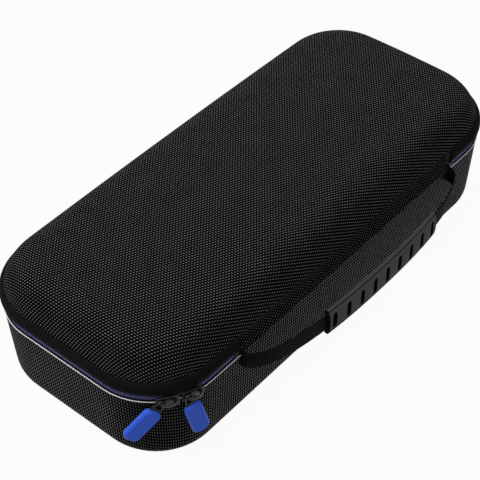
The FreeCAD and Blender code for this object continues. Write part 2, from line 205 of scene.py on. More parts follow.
def bump(tree, shader, height, depth, strength=1.0):
    node = tree.nodes.new("ShaderNodeBump")
    node.inputs["Strength"].default_value = strength
    node.inputs["Distance"].default_value = depth * mm
    tree.links.new(height, node.inputs["Height"])
    tree.links.new(node.outputs[0], shader.inputs["Normal"])


def tint(tree, shader, factor, dark, light):
    tree.links.new(choose(tree, factor, (*dark, 1.0), (*light, 1.0)), shader.inputs["Base Color"])


def clothParts(tree):
    where = tree.nodes.new("ShaderNodeAttribute")
    where.attribute_name = "clothAt"
    parts = tree.nodes.new("ShaderNodeSeparateXYZ")
    tree.links.new(where.outputs["Vector"], parts.inputs[0])
    return parts.outputs


# columns of long stitches side by side, every second column half a stitch on
def stitchColumns(tree, along, across, pitch, skew, slant):
    across = calc(tree, "MULTIPLY_ADD", along, -skew, across)
    u, v = calc(tree, "DIVIDE", along, pitch[0]), calc(tree, "DIVIDE", across, pitch[1])
    place = calc(tree, "SUBTRACT", calc(tree, "FRACT", u), 0.5)
    column = calc(tree, "COSINE", calc(tree, "MULTIPLY", place, math.pi))
    stepped = calc(tree, "ADD", v, calc(tree, "FLOOR", u))
    turn = calc(tree, "MULTIPLY_ADD", stepped, 0.5, calc(tree, "MULTIPLY", place, slant))
    wave = calc(tree, "COSINE", calc(tree, "MULTIPLY", turn, 2 * math.pi))
    return column, calc(tree, "MULTIPLY_ADD", wave, 0.5, 0.5)


# woven finishes: the coarse cover cloth, the webbing, the zip tape and the elastic

threads = dict(patchScale=90.0, patchDetail=3.0, patchLow=0.7, patchHigh=1.3, dip=0.65)


def wovenFinish(name, pitch, dark, light, shine, depth, rough,
                skew=0.0, slant=0.0, columnPower=1.5, stitchPower=1.0, low=0.0):
    finish, tree, shader = newFinish(name, Roughness=rough)
    along, across, shade = clothParts(tree)
    column, stitch = stitchColumns(tree, along, across, pitch, skew, slant)
    bright = calc(tree, "MULTIPLY_ADD", calc(tree, "POWER", stitch, stitchPower), 1.0 - low, low)
    patch = noise(tree, threads["patchScale"], threads["patchDetail"],
                  threads["patchLow"], threads["patchHigh"])
    crest = calc(tree, "MULTIPLY", calc(tree, "POWER", column, columnPower), bright)
    crest = calc(tree, "MULTIPLY", crest, patch)
    # painted shade: the third value of clothAt darkens the crests round the lid's shoulder and at the base's
    # corners
    crest = calc(tree, "MULTIPLY", crest, calc(tree, "SUBTRACT", 1.0, shade))
    tint(tree, shader, crest, dark, light)
    # only the crests shine, so the level differs from thread to gap
    tree.links.new(calc(tree, "MULTIPLY", crest, shine), shader.inputs["Specular IOR Level"])
    raised = calc(tree, "MULTIPLY_ADD", stitch, threads["dip"], 1.0 - threads["dip"])
    bump(tree, shader, calc(tree, "MULTIPLY", column, raised), depth)
    return finish


coverCloth = dict(pitch=(1.38, 0.945), dark=(0.0005, 0.0005, 0.0005), light=(0.235, 0.235, 0.238), shine=0.08,
                  depth=0.2, rough=0.5, skew=0.15, slant=0.5, columnPower=5.0, stitchPower=4.0, low=0.02)
coverFinish = wovenFinish("cover_cloth", **coverCloth)
# the deep base pulls the same cloth wider
baseCover = dict(coverCloth, pitch=(1.82, 1.245), light=(0.185, 0.185, 0.188), shine=0.5,
                 skew=0.56, slant=0.35, columnPower=6.0, stitchPower=3.0, low=0.03)
baseFinish = wovenFinish("base_cloth", **baseCover)
webbing = dict(pitch=(0.9, 0.75), dark=(0.001, 0.001, 0.0011), light=(0.02, 0.02, 0.0205), shine=0.1,
               depth=0.15, rough=0.6, columnPower=2.0, stitchPower=1.5, low=0.1)
webbingFinish = wovenFinish("strap_webbing", **webbing)
tapeCloth = dict(pitch=(0.5, 0.5), dark=(0.002, 0.002, 0.004), light=(0.022, 0.023, 0.055), shine=0.3,
                 depth=0.12, rough=0.7, low=0.3)
tapeFinish = wovenFinish("zip_tape", **tapeCloth)
elastic = dict(pitch=(0.9, 0.9), dark=(0.003, 0.003, 0.0032), light=(0.035, 0.035, 0.036), shine=0.3,
               depth=0.25, rough=0.7, low=0.6)
elasticFinish = wovenFinish("elastic_ribs", **elastic)


# brushed lining inside both shells, with a short nap

lining = dict(dark=(0.012, 0.012, 0.0125), light=(0.05, 0.05, 0.052), rough=0.9, level=0.2, sheen=0.25,
              sheenRough=0.6, grain=1800.0, grainDetail=5.0, patch=60.0, patchDetail=2.0,
              nap=0.5, napStrength=0.6)


def liningFinish():
    finish, tree, shader = newFinish("brushed_lining", Roughness=lining["rough"])
    shader.inputs["Specular IOR Level"].default_value = lining["level"]
    shader.inputs["Sheen Weight"].default_value = lining["sheen"]
    shader.inputs["Sheen Roughness"].default_value = lining["sheenRough"]
    fine = noise(tree, lining["grain"], lining["grainDetail"])
    broad = noise(tree, lining["patch"], lining["patchDetail"])
    tint(tree, shader, calc(tree, "MULTIPLY", fine, broad), lining["dark"], lining["light"])
    bump(tree, shader, fine, lining["nap"], lining["napStrength"])
    return finish


innerFinish = liningFinish()


# plain mouldings: colour drifts a little, and fine grain breaks the gloss

moulding = dict(driftScale=60.0, detail=3.0, roughSpread=0.16, grainStrength=0.5)


def mouldedFinish(name, colour, rough, grain, depth, drift=0.15, level=0.5):
    finish, tree, shader = newFinish(name)
    shader.inputs["Specular IOR Level"].default_value = level
    broad = noise(tree, moulding["driftScale"], moulding["detail"])
    fine = noise(tree, grain, moulding["detail"])
    dark, light = [[min(c * share, 1.0) for c in colour] for share in (1.0 - drift, 1.0 + drift)]
    tint(tree, shader, broad, dark, light)
    spread = moulding["roughSpread"]
    tree.links.new(calc(tree, "MULTIPLY_ADD", fine, spread, rough - spread / 2), shader.inputs["Roughness"])
    bump(tree, shader, fine, depth, moulding["grainStrength"])
    return finish


jet = (0.004, 0.004, 0.004)
bandFinish = mouldedFinish("band_skin", (0.0072, 0.0072, 0.0072), rough=0.6, grain=900.0, depth=0.03,
                           level=0.01)
pipingFinish = mouldedFinish("piping_white", (0.86, 0.86, 0.87), rough=0.4, grain=700.0, depth=0.02,
                             drift=0.03)
coilFinish = mouldedFinish("coil_blue", (0.18, 0.185, 0.44), rough=0.3, grain=2500.0, depth=0.01)
sliderFinish = mouldedFinish("slider_black", jet, rough=0.24, grain=1500.0, depth=0.02, level=0.3)
linkFinish = mouldedFinish("link_black", jet, rough=0.28, grain=1500.0, depth=0.02, level=0.25)
pullFinish = mouldedFinish("pull_blue", (0.036, 0.115, 0.68), rough=0.4, grain=1100.0, depth=0.02, drift=0.05,
                           level=0.1)
gripFinish = mouldedFinish("grip_rubber", (0.052, 0.052, 0.053), rough=0.5, grain=1600.0, depth=0.04,
                           level=0.01)
# painted shade: a near-black copy of the grip rubber for the crease, the slots, the lower edge and the ends
gripShadeFinish = mouldedFinish("grip_painted_shade", jet, rough=0.6, grain=1600.0, depth=0.04, level=0.01)
# painted light: a lighter copy of the grip rubber for the face round the slots, and a painted highlight on
# its upper rounded edge
gripLightFinish = mouldedFinish("grip_painted_light", (0.09, 0.09, 0.091), rough=0.5, grain=1600.0, depth=0.04, level=0.01)
netFinish = mouldedFinish("net_yarn", (0.016, 0.016, 0.017), rough=0.7, grain=2600.0, depth=0.1)
print("finishes made:", len(bpy.data.materials))


# the outline of the case as stations: an anchor on the inner rectangle and the way out from it

outlineSteps = dict(corner=16, end=4, hinge=30, side=9)


def outlineStations():
    xs = steps(-cornerX, case["zipLeft"], outlineSteps["end"])
    xs += steps(case["zipLeft"], case["zipRight"], outlineSteps["hinge"])[1:]
    xs += steps(case["zipRight"], cornerX, outlineSteps["end"])[1:]
    ys = steps(-cornerY, cornerY, outlineSteps["side"])
    ring = [(x, -cornerY, 0.0, -1.0) for x in xs]
    turns = [(cornerX, -cornerY, -90.0, [(cornerX, y, 1.0, 0.0) for y in ys]),
             (cornerX, cornerY, 0.0, [(x, cornerY, 0.0, 1.0) for x in reversed(xs)]),
             (-cornerX, cornerY, 90.0, [(-cornerX, y, -1.0, 0.0) for y in reversed(ys)]),
             (-cornerX, -cornerY, 180.0, [])]
    for x, y, start, side in turns:
        angles = steps(start, start + 90.0, outlineSteps["corner"])[1:-1]
        ring += [(x, y, *polar(1.0, angle)) for angle in angles] + side
    return ring, xs, ys


stations, gridX, gridY = outlineStations()
near = 0.01  # mm within which two places are the same


def spot(station, inset):
    x, y, nx, ny = station
    reach = case["corner"] - inset
    return x + nx * reach, y + ny * reach


def inHinge(first, second):
    low, high = case["zipLeft"] - near, case["zipRight"] + near
    return all(s[3] == -1.0 and low <= s[0] <= high for s in (first, second))


# a moulded shell: rings from the open rim to the flat middle, and a grid across the middle

def shellSheet(name, rings, middleZ, finish, notchRows=0, wrapRows=0, squeeze=0.0, cornerShade=0.0,
               rowShade=()):
    count = len(stations)
    turned = [2 * abs(s[2] * s[3]) for s in stations]  # 1 half way round a corner, 0 on the straight walls
    points = [p for ring in rings for p in ring]
    lengths = [[0.0] * count for ring in rings]
    for j in range(len(rings) - 2, -1, -1):
        for i in range(count):
            lengths[j][i] = lengths[j + 1][i] + math.dist(rings[j][i], rings[j + 1][i])
    walked = [0.0]
    for i, s in enumerate(stations):
        step = math.dist(spot(s, 0.0), spot(stations[(i + 1) % count], 0.0))
        walked.append(walked[-1] + step * (1 + squeeze * turned[i]))
    faces, cloth = [], []

    # on the first rows the cloth is wrapped round the wall, and elsewhere it is drawn out from the middle
    # the third value is painted shade: by corner on the wrapped rows, by row elsewhere
    def clothSpot(j, i, wrapped):
        s = stations[i % count]
        length = lengths[j][i % count]
        if wrapped:
            return walked[i], length, cornerShade * turned[i % count]
        return s[0] + s[2] * length, s[1] + s[3] * length, rowShade[j] if j < len(rowShade) else 0.0

    for j in range(len(rings) - 1):
        for i in range(count):
            k = (i + 1) % count
            if j < notchRows and inHinge(stations[i], stations[k]):
                continue
            faces.append((j * count + i, j * count + k, (j + 1) * count + k, (j + 1) * count + i))
            corners = ((j, i), (j, i + 1), (j + 1, i + 1), (j + 1, i))
            cloth += [clothSpot(row, at, j < wrapRows) for row, at in corners]
    gridStart = len(points)
    points += [(x, y, middleZ(x, y)) for y in gridY for x in gridX]
    wide = len(gridX)
    for j in range(len(gridY) - 1):
        for i in range(wide - 1):
            a = gridStart + j * wide + i
            faces.append((a, a + 1, a + wide + 1, a + wide))
            cloth += [points[n][:2] for n in faces[-1]]
    piece = addMesh(name, (points, faces), finish, innerFinish, closed=False)
    markCloth(piece, cloth, "CORNER")
    work = bmesh.new()
    work.from_mesh(piece.data)
    bmesh.ops.remove_doubles(work, verts=work.verts, dist=near * mm)
    bmesh.ops.delete(work, geom=[v for v in work.verts if not v.link_faces], context="VERTS")
    bmesh.ops.recalc_face_normals(work, faces=work.faces)
    # the cloth side faces out, up on the lid and down on the base
    flattest = max(work.faces, key=lambda f: abs(f.normal.z))
    outward = 1.0 if middleZ(0.0, 0.0) > case["rimZ"] else -1.0
    if flattest.normal.z * outward < 0:
        bmesh.ops.reverse_faces(work, faces=work.faces)
    work.to_mesh(piece.data)
    work.free()
    return thicken(piece, case["wall"], -1.0, even=True, innerSlot=1)


# lid: crowned top, wide round shoulder and a low wall behind the zip band
lidRows = dict(wall=(case["lidRimZ"], 54.5, 56.5, 58.5, 60.5, case["creaseZ"]), shoulder=16,
               top=(23.5, 28.0, 33.0, 38.0))
# painted shade: the cloth's crests are darkened half way round the shoulder
lidShade = dict(deep=0.24, middle=42.0, spread=16.0, start=5.3)


def crownZ(x, y):
    return case["lidTopZ"] - x * x / (2 * case["crownAlong"]) - y * y / (2 * case["crownAcross"])


def lidRings():
    r = case["shoulder"]
    inset = case["lidInset"]

    def wallPoint(s, z):
        low = crownZ(*spot(s, inset)) - r
        d = r - math.sqrt(r * r - (z - low) ** 2) if z > low else 0.0
        return (*spot(s, inset + d), z)

    def roundPoint(s, share):
        start = math.asin((case["creaseZ"] - crownZ(*spot(s, inset)) + r) / r)
        angle = start + (math.pi / 2 - start) * share
        x, y = spot(s, inset + r * (1 - math.cos(angle)))
        return x, y, crownZ(x, y) - r + r * math.sin(angle)

    def topPoint(s, d):
        x, y = spot(s, d)
        return x, y, crownZ(x, y)

    rings = [[wallPoint(s, z) for s in stations] for z in lidRows["wall"]]
    rings += [[roundPoint(s, share) for s in stations] for share in steps(0.0, 1.0, lidRows["shoulder"])[1:]]
    return rings + [[topPoint(s, d) for s in stations] for d in lidRows["top"]]


def shoulderShade(tilt):
    return lidShade["deep"] * math.exp(-((tilt - lidShade["middle"]) / lidShade["spread"]) ** 2)


# painted shade for each row of the shoulder, none on the wall
tilts = steps(lidShade["start"], 90.0, lidRows["shoulder"])[1:]
shades = [0.0] * len(lidRows["wall"]) + [shoulderShade(tilt) for tilt in tilts]
lidCloth = shellSheet("lid_cover", lidRings(), crownZ, coverFinish, notchRows=len(lidRows["wall"]) - 1,
                      rowShade=shades)
mount(lidCloth, "lid", "shell_cloth", "lid_shell")

# base: tapered walls, round foot and flat bottom
baseRows = dict(wall=(case["rimZ"], 48.4, 45.0, 40.0, 34.0, 28.0, 22.0, 16.0), foot=12,
                bottom=(19.0, 24.0, 29.0, 33.5, 38.0))
# the cloth is wrapped round the walls and drawn together at the corners, where painted shade darkens it
baseWrap = dict(wrapRows=len(baseRows["wall"]) + baseRows["foot"], squeeze=0.35, cornerShade=0.5)


def baseInset(z):
    return case["taper"] * (1 - z / case["rimZ"])


def baseRings():
    r = case["footRadius"]
    slope = math.atan(case["taper"] / case["rimZ"])
    start = r - r * math.sin(slope)
    centre = baseInset(start) + r * math.cos(slope)
    rows = [(baseInset(z), z) for z in baseRows["wall"]]
    turns = steps(slope, math.pi / 2, baseRows["foot"])
    rows += [(centre - r * math.cos(a), r - r * math.sin(a)) for a in turns]
    rows += [(inset, 0.0) for inset in baseRows["bottom"]]
    return [[(*spot(s, inset), z) for s in stations] for inset, z in rows]


baseCloth = shellSheet("base_cover", baseRings(), lambda x, y: 0.0, baseFinish, **baseWrap)
mount(baseCloth, "base", "shell_cloth", "base_shell")
print("shells made:", len(lidCloth.data.polygons), len(baseCloth.data.polygons), "faces")


# cloth spine between the two ends of the zip, bent between the base and the lid

spine = dict(sheet=1.2, groove=2.6, foot=0.05, head=1.45, tuck=0.3, rise=0.15, endGap=0.3, along=40, down=16,
             bendLow=59.0, bendHigh=62.0)


def spineProfile(offset):
    low, high = case["rimZ"] - spine["tuck"], case["creaseZ"] + spine["rise"]
    points = []
    for share in steps(0.0, 1.0, spine["down"]):
        inset = spine["foot"] + (spine["head"] - spine["foot"]) * share
        inset += spine["groove"] * math.sin(math.pi * share)
        points.append((inset + offset, low + (high - low) * share))
    return points


outer, inner = spineProfile(0.0), spineProfile(spine["sheet"])
drop = runLengths(outer)
xs = steps(case["zipLeft"] + spine["endGap"], case["zipRight"] - spine["endGap"], spine["along"])
rings = [[(x, -case["halfWidth"] + inset, z) for inset, z in outer + inner[::-1]] for x in xs]
spineCloth = addMesh("hinge_spine", loft(rings), coverFinish)
markCloth(spineCloth, [(x, -case["halfWidth"] - d) for x in xs for d in drop + drop[::-1]])
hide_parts("hinge_strip")
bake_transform(spineCloth)
print("spine made")


# everything that follows the zip runs from its right end round the case to its left end

def hingeStation(x):
    return next(i for i, s in enumerate(stations) if s[3] == -1.0 and abs(s[0] - x) < near)


zipRun = stations[hingeStation(case["zipRight"]):] + stations[:hingeStation(case["zipLeft"]) + 1]


def trimmed(run, trim):
    run = list(run)
    run[0] = (run[0][0] + trim, *run[0][1:])
    run[-1] = (run[-1][0] - trim, *run[-1][1:])
    return run


def zipSweep(name, section, finish, sharp):
    rings = [[(*spot(s, inset), z) for inset, z in section] for s in zipRun]
    piece = addMesh(name, loft(rings), finish, sharp=sharp)
    along, across = runLengths([ring[0] for ring in rings]), runLengths(section)
    markCloth(piece, [(w, r) for w in along for r in across])
    return piece


# smooth rounded band over the upper half of the zip
band = dict(proud=1.2, edge=0.4, ease=0.1, roll=0.2, deep=1.6, flare=0.05, rows=14)
low, high, ease = case["lidRimZ"], case["creaseZ"], band["ease"]
edge = case["lidInset"] - band["edge"]
# the front is an arc, from its height and how far it stands out
half, out = (high - low) / 2 - ease, edge - ease + band["proud"]
radius = (half * half + out * out) / (2 * out)
swing = math.asin(half / radius)
centre, middle = radius - band["proud"], (low + high) / 2
turns = steps(swing, -swing, band["rows"])
bulge = [(centre - radius * math.cos(a), middle + radius * math.sin(a)) for a in turns]
section = [(band["deep"], high - band["flare"]), (edge + band["roll"], high)] + bulge
section += [(edge + band["roll"], low), (band["deep"], low + band["flare"])]
lidBand = zipSweep("zip_band", section, bandFinish, 60.0)
mount(lidBand, "lid", "band_black", "lid_band")

# white piping on the rim of the base
piping = dict(proud=0.3, radius=0.28, lift=0.03, sides=16)
radius = piping["radius"]
inset, z = radius - piping["proud"], case["rimZ"] + piping["lift"] + radius
turns = steps(0.0, 2 * math.pi, piping["sides"])[:-1]
section = [(inset - radius * math.cos(a), z + radius * math.sin(a)) for a in turns]
basePiping = zipSweep("rim_piping", section, pipingFinish, 60.0)
mount(basePiping, "base", "piping_white", "base_piping")

# woven zip tape over the rim and down inside the base
tape = dict(front=0.55, drop=9.0, thick=0.8, fold=0.3, topGap=0.05, topIn=0.1, backIn=0.2, backLow=0.1,
            backHigh=0.6)
rim, wallTop = case["rimZ"], case["wall"]
low, top = rim - tape["drop"], case["pipingTop"] - tape["topGap"]
wallLow = wallTop + baseInset(low)
section = [(tape["front"], rim), (wallTop - tape["fold"], rim), (wallTop, rim - tape["fold"]),
           (wallLow, low), (wallLow + tape["thick"], low), (wallTop + tape["thick"], rim - tape["backLow"]),
           (wallTop + tape["thick"] - tape["backIn"], rim + tape["backHigh"]),
           (wallTop - tape["topIn"], top), (tape["front"], top)]
baseTape = zipSweep("zip_tape", section, tapeFinish, 50.0)
mount(baseTape, "base", "tape_black", "zip_tape_base")
print("band, piping and tape made")


# the two coils of the zip: a real spiral each, half a turn apart so that they mesh

coil = dict(pitch=0.95, wire=0.27, middle=1.85, wide=1.15, perTurn=8, sides=5, mesh=0.2, stopLength=3.6,
            endGap=0.2)


def zipCoil(name, low, high, reach, trim, phase):
    run = trimmed(zipRun, trim)
    spots = [spot(s, coil["middle"]) for s in run]
    walked = runLengths(spots)
    count = int(walked[-1] / coil["pitch"]) * coil["perTurn"]
    across = coil["wide"] - coil["wire"]
    samples = []
    leg = 0
    for n in range(count + 1):
        at = walked[-1] * n / count
        while leg < len(walked) - 2 and walked[leg + 1] < at:
            leg += 1
        share = (at - walked[leg]) / (walked[leg + 1] - walked[leg])
        px, py = [a + (b - a) * share for a, b in zip(spots[leg], spots[leg + 1])]
        nx, ny = [a + (b - a) * share for a, b in zip(run[leg][2:], run[leg + 1][2:])]
        size = math.hypot(nx, ny)
        nx, ny = nx / size, ny / size
        # the coils stay apart on the corner where the sliders are parked
        parked = px < -cornerX and py < -cornerY
        lo = low if parked else low + min(reach, 0.0)
        hi = high if parked else high + max(reach, 0.0)
        angle = 2 * math.pi * (n / coil["perTurn"] + phase)
        tall = (hi - lo) / 2 - coil["wire"]
        samples.append(Vector((px + nx * across * math.cos(angle), py + ny * across * math.cos(angle),
                               (lo + hi) / 2 + tall * math.sin(angle))))
    sides = steps(0.0, 2 * math.pi, coil["sides"])[:-1]
    rings = []
    for n, p in enumerate(samples):
        ahead = (samples[min(n + 1, count)] - samples[max(n - 1, 0)]).normalized()
        side = ahead.cross(Vector((0, 0, 1))).normalized()
        up = side.cross(ahead)
        rings.append([p + (side * math.cos(t) + up * math.sin(t)) * coil["wire"] for t in sides])
    return addMesh(name, loft(rings), coilFinish, sharp=80.0)


baseCoil = zipCoil("zip_coil_low", case["pipingTop"], case["coilTop"], coil["mesh"], coil["stopLength"], 0.0)
mount(baseCoil, "base", "coil_blue", "zip_coil_base")
lidCoil = zipCoil("zip_coil_high", case["lidCoilLow"], case["lidRimZ"], -coil["mesh"], coil["endGap"], 0.5)
mount(lidCoil, "lid", "coil_blue", "zip_coil_lid")
print("coils made:", len(baseCoil.data.polygons), len(lidCoil.data.polygons), "faces")


# carrying strap: flat webbing bowed out from the hinge wall

strap = dict(span=184.0, reach=19.8, fullness=2.3, wide=10.6, thick=1.1, along=72, edge=0.4, edgeSteps=4,
             root=3.0)


def bowPoint(turn, offset):
    power = 2 / strap["fullness"]
    across = math.copysign(abs(math.cos(turn)) ** power, math.cos(turn))
    out = max(math.sin(turn), 0.0) ** power
    x = case["hingeMid"] - (strap["span"] / 2 + offset) * across
    return x, -case["halfWidth"] - (strap["reach"] + offset) * out


half = strap["wide"] / 2
loop = roundedLoop(-strap["thick"], 0.0, -half, half, strap["edge"], strap["edgeSteps"])
turns = steps(0.0, math.pi, strap["along"])
rows = [(turns[0], strap["root"])] + [(turn, 0.0) for turn in turns] + [(turns[-1], strap["root"])]
rings = []
for turn, sunk in rows:
    bow = [(*bowPoint(turn, o), z) for o, z in loop]
    rings.append([(x, y + sunk, case["strapZ"] + z) for x, y, z in bow])
walked = runLengths([ring[0] for ring in rings])
handleStrap = addMesh("carry_strap", loft(rings), webbingFinish, sharp=60.0)
markCloth(handleStrap, [(w, z) for w in walked for o, z in loop])
mount(handleStrap, "base", "strap_webbing", "handle_strap")


# moulded grip round the strap, with a row of upright slots in its face

grip = dict(length=97.0, high=16.8, skin=2.4, back=0.4, rounding=0.5, bends=4, shift=3.2, crown=1.3, edge=0.2,
            slots=9, pitch=11.0, slotHigh=10.4, slotWide=3.2, slotSides=8, slotFloor=0.05, lip=0.3,
            under=0.05, shoulder=1.6, fall=0.5, lineHigh=0.8, lineDeep=0.6, sharp=35.0)
# the grip's faces take the plain rubber, a copy in painted shade or a lighter copy in painted light
sleeveTone, shadeTone, lightTone = 0, 1, 2


def gripPlace(x, z, o):
    # the face is crowned from edge to edge
    o = o - grip["crown"] * (2 * z / grip["high"]) ** 2 * max(o, 0.0) / grip["skin"]
    x = x + grip["shift"]
    half = strap["span"] / 2 + o
    depth = (strap["reach"] + o) * (1 - (abs(x) / half) ** strap["fullness"]) ** (1 / strap["fullness"])
    return case["hingeMid"] + x, -case["halfWidth"] - depth, case["strapZ"] + z


def slotLoop(grow):
    radius = grip["slotWide"] / 2 + grow
    straight = (grip["slotHigh"] - grip["slotWide"]) / 2
    loop = []
    for start, z in ((0.0, straight), (180.0, -straight)):
        for angle in steps(start, start + 180.0, grip["slotSides"]):
            dx, dz = polar(radius, angle)
            loop.append((dx, z + dz))
    return loop


# a quarter turn about z and o, as high and as deep as given
def bend(z, o, high, deep, start):
    turns = [math.radians(angle) for angle in steps(start, start + 90.0, grip["bends"])]
    return [(z + high * math.sin(t), o + deep * math.cos(t)) for t in turns]


def makeGrip():
    work = bmesh.new()
    half, r, edge = grip["high"] / 2, grip["rounding"], grip["edge"]
    top, back = grip["skin"], -strap["thick"] - grip["back"]
    end = grip["length"] / 2
    flat = half - grip["lineHigh"] - grip["shoulder"]
    flatLow = grip["slotHigh"] / 2 + grip["lip"] + grip["under"]
    ledge = top - grip["fall"]
    known = {}

    def vert(x, z, o):
        key = (round(x, 4), round(z, 4), round(o, 4))
        if key not in known:
            known[key] = work.verts.new([c * mm for c in gripPlace(x, z, o)])
        return known[key]

    def face(*corners, tone):
        corners = list(dict.fromkeys(corners))
        if len(corners) > 2:
            work.faces.new(corners).material_index = tone

    # each slot with the piece of the face round it: the face in painted light, the slot's walls and floor in
    # painted shade
    hole, lip = slotLoop(0.0), slotLoop(grip["lip"])
    count = len(hole)
    first = -grip["pitch"] * (grip["slots"] - 1) / 2
    cuts = set()
    for n in range(grip["slots"]):
        middle = first + grip["pitch"] * n
        low, high = max(middle - grip["pitch"] / 2, -end + r), min(middle + grip["pitch"] / 2, end - r)
        # right edge, along the top, left edge, along the bottom
        frameLoop = []
        for k in range(count):
            upper = k <= grip["slotSides"]
            share = (k if upper else k - grip["slotSides"] - 1) / grip["slotSides"]
            start, stop = (high, low) if upper else (low, high)
            x = start + (stop - start) * min(max((share - 0.25) * 2, 0.0), 1.0)
            z = (flat if upper else -flatLow) * min(share * 4, (1 - share) * 4, 1.0)
            frameLoop.append((x, z))
            if z > flat - near:
                cuts.add(round(x, 4))
        levels = [[vert(x, z, top) for x, z in frameLoop]]
        for loop, o in ((lip, top), (hole, top - grip["lip"]), (hole, grip["slotFloor"])):
            levels.append([vert(middle + x, z, o) for x, z in loop])
        for k in range(count):
            m = (k + 1) % count
            for a, b, tone in zip(levels, levels[1:], (lightTone, lightTone, shadeTone)):
                face(a[k], a[m], b[m], b[k], tone=tone)
        face(*levels[-1], tone=shadeTone)
    cuts = sorted(cuts)

    # the section round the sleeve, from the face's upper edge over the back to its lower edge
    def rimLine(start):
        crease = (half - grip["lineHigh"] / 2, ledge - grip["lineDeep"])
        return bend(start, ledge, half - grip["lineHigh"] - start, grip["fall"], 0.0) + [crease]

    upper, lower = rimLine(flat), [(-z, o) for z, o in reversed(rimLine(flatLow))]
    sleeve = bend(half - edge, ledge - edge, edge, edge, 0.0) + bend(half - r, back + r, r, r, 90.0)
    sleeve += [(z, back) for z in (flat / 2, 0.0, -flat / 2)] + bend(r - half, back + r, r, r, 180.0)
    order = upper + sleeve + bend(edge - half, ledge - edge, edge, edge, 270.0) + lower
    # painted light on the face's upper rounded edge, painted shade in the upper crease and along the whole
    # lower edge
    tones = [lightTone] * (len(upper) - 2) + [shadeTone] * 2 + [sleeveTone] * len(sleeve)
    tones += [shadeTone] * (len(order) - len(tones))
    for a, b in zip(cuts, cuts[1:]):
        for (z1, o1), (z2, o2), tone in zip(order, order[1:], tones):
            face(vert(a, z1, o1), vert(b, z1, o1), vert(b, z2, o2), vert(a, z2, o2), tone=tone)
    # rounded ends, in painted shade
    middleO, deep = (top + back) / 2, (top - back) / 2
    for side, cut in ((-1, cuts[0]), (1, cuts[-1])):
        previous = [vert(cut, z, o) for z, o in order]
        for angle in steps(0.0, 90.0, grip["bends"])[1:]:
            shrink = r * (1 - math.cos(math.radians(angle)))
            x = side * (end - r + r * math.sin(math.radians(angle)))
            kz, ko = (half - shrink) / half, (deep - shrink) / deep
            ring = [vert(x, z * kz, middleO + (o - middleO) * ko) for z, o in order]
            for i in range(len(order)):
                k = (i + 1) % len(order)
                face(previous[i], previous[k], ring[k], ring[i], tone=shadeTone)
            previous = ring
        face(*previous, tone=shadeTone)
    mesh = bpy.data.meshes.new("grip_sleeve")
    storeWork(work, mesh)
    piece = addPiece("grip_sleeve", mesh, gripFinish, gripShadeFinish, gripLightFinish)
    smooth(piece, grip["sharp"])
    return piece


handleGrip = makeGrip()
mount(handleGrip, "base", "grip_rubber", "handle_grip")
print("handle made:", len(handleGrip.data.polygons), "faces on the grip")


# zip sliders, nose to nose on the corner by the hinge

slider = dict(length=12.2, above=3.0, below=3.8, taper=0.9, plateIn=0.7, plateOut=1.9, round=1.3,
              roundSteps=5, nose=-118.2, noseGap=0.5, legAt=3.6, barOut=4.7, barThick=0.42, barWide=1.08,
              barIn=0.45, arch=0.8, archSteps=10, barSides=12, barPower=0.75, wingOut=-5.2,
              wingIn=-6.4, wingHalf=3.8, wingLow=-4.0, wingMiddle=-1.9, wingRound=0.9, wingEdge=0.3,
              webHalf=1.8, webHigh=0.15, webRound=0.07, webSteps=2, webEnd=0.1)
# the bridge's leg from the plate up: out, towards the middle, half thickness, half width
sliderLeg = ((-0.2, 0.0, 0.95, 0.95), (0.8, 0.0, 0.92, 0.92), (1.7, 0.02, 0.85, 0.92))


def ontoCorner(side):
    half = math.degrees((slider["length"] + slider["noseGap"]) / 2 / case["corner"])
    turn = Matrix.Rotation(math.radians(slider["nose"] + side * half), 4, "Z")
    middle = Matrix.Translation((-cornerX, -cornerY, case["zipZ"]))
    return middle @ turn @ Matrix.Translation((case["corner"], 0, 0))


def moved(shape, matrix):
    return [matrix @ Vector(p) for p in shape[0]], shape[1]


# a plate from its outline: each stop is how far out and how far the outline draws in
def plate(loop, centre, stops):
    rings = []
    for out, inset in stops:
        ring = []
        for y, z in loop:
            dy, dz = y - centre[0], z - centre[1]
            size = math.hypot(dy, dz)
            ring.append((out, y - dy / size * inset, z - dz / size * inset))
        rings.append(ring)
    return loft(rings)


def bridge(plateOut):
    leg = slider["legAt"]
    path = [(plateOut + out, -leg + inward, thick, wide) for out, inward, thick, wide in sliderLeg]
    for share in steps(0.0, 1.0, slider["archSteps"]):
        y = -leg + slider["barIn"] + 2 * (leg - slider["barIn"]) * share
        out = slider["barOut"] - slider["barThick"] + slider["arch"] * math.sin(math.pi * share)
        path.append((out, y, slider["barThick"], slider["barWide"]))
    path += [(out, -y, thick, wide) for out, y, thick, wide in reversed(path[:len(sliderLeg)])]
    sides = []
    for t in steps(0.0, 2 * math.pi, slider["barSides"])[:-1]:
        sides.append([math.copysign(abs(c) ** slider["barPower"], c) for c in (math.cos(t), math.sin(t))])
    rings = []
    for n, (out, y, thick, wide) in enumerate(path):
        before, after = path[max(n - 1, 0)], path[min(n + 1, len(path) - 1)]
        way = Vector((after[0] - before[0], after[1] - before[1])).normalized()
        rings.append([(out + way.y * thick * ct, y - way.x * thick * ct, wide * st) for ct, st in sides])
    return loft(rings)


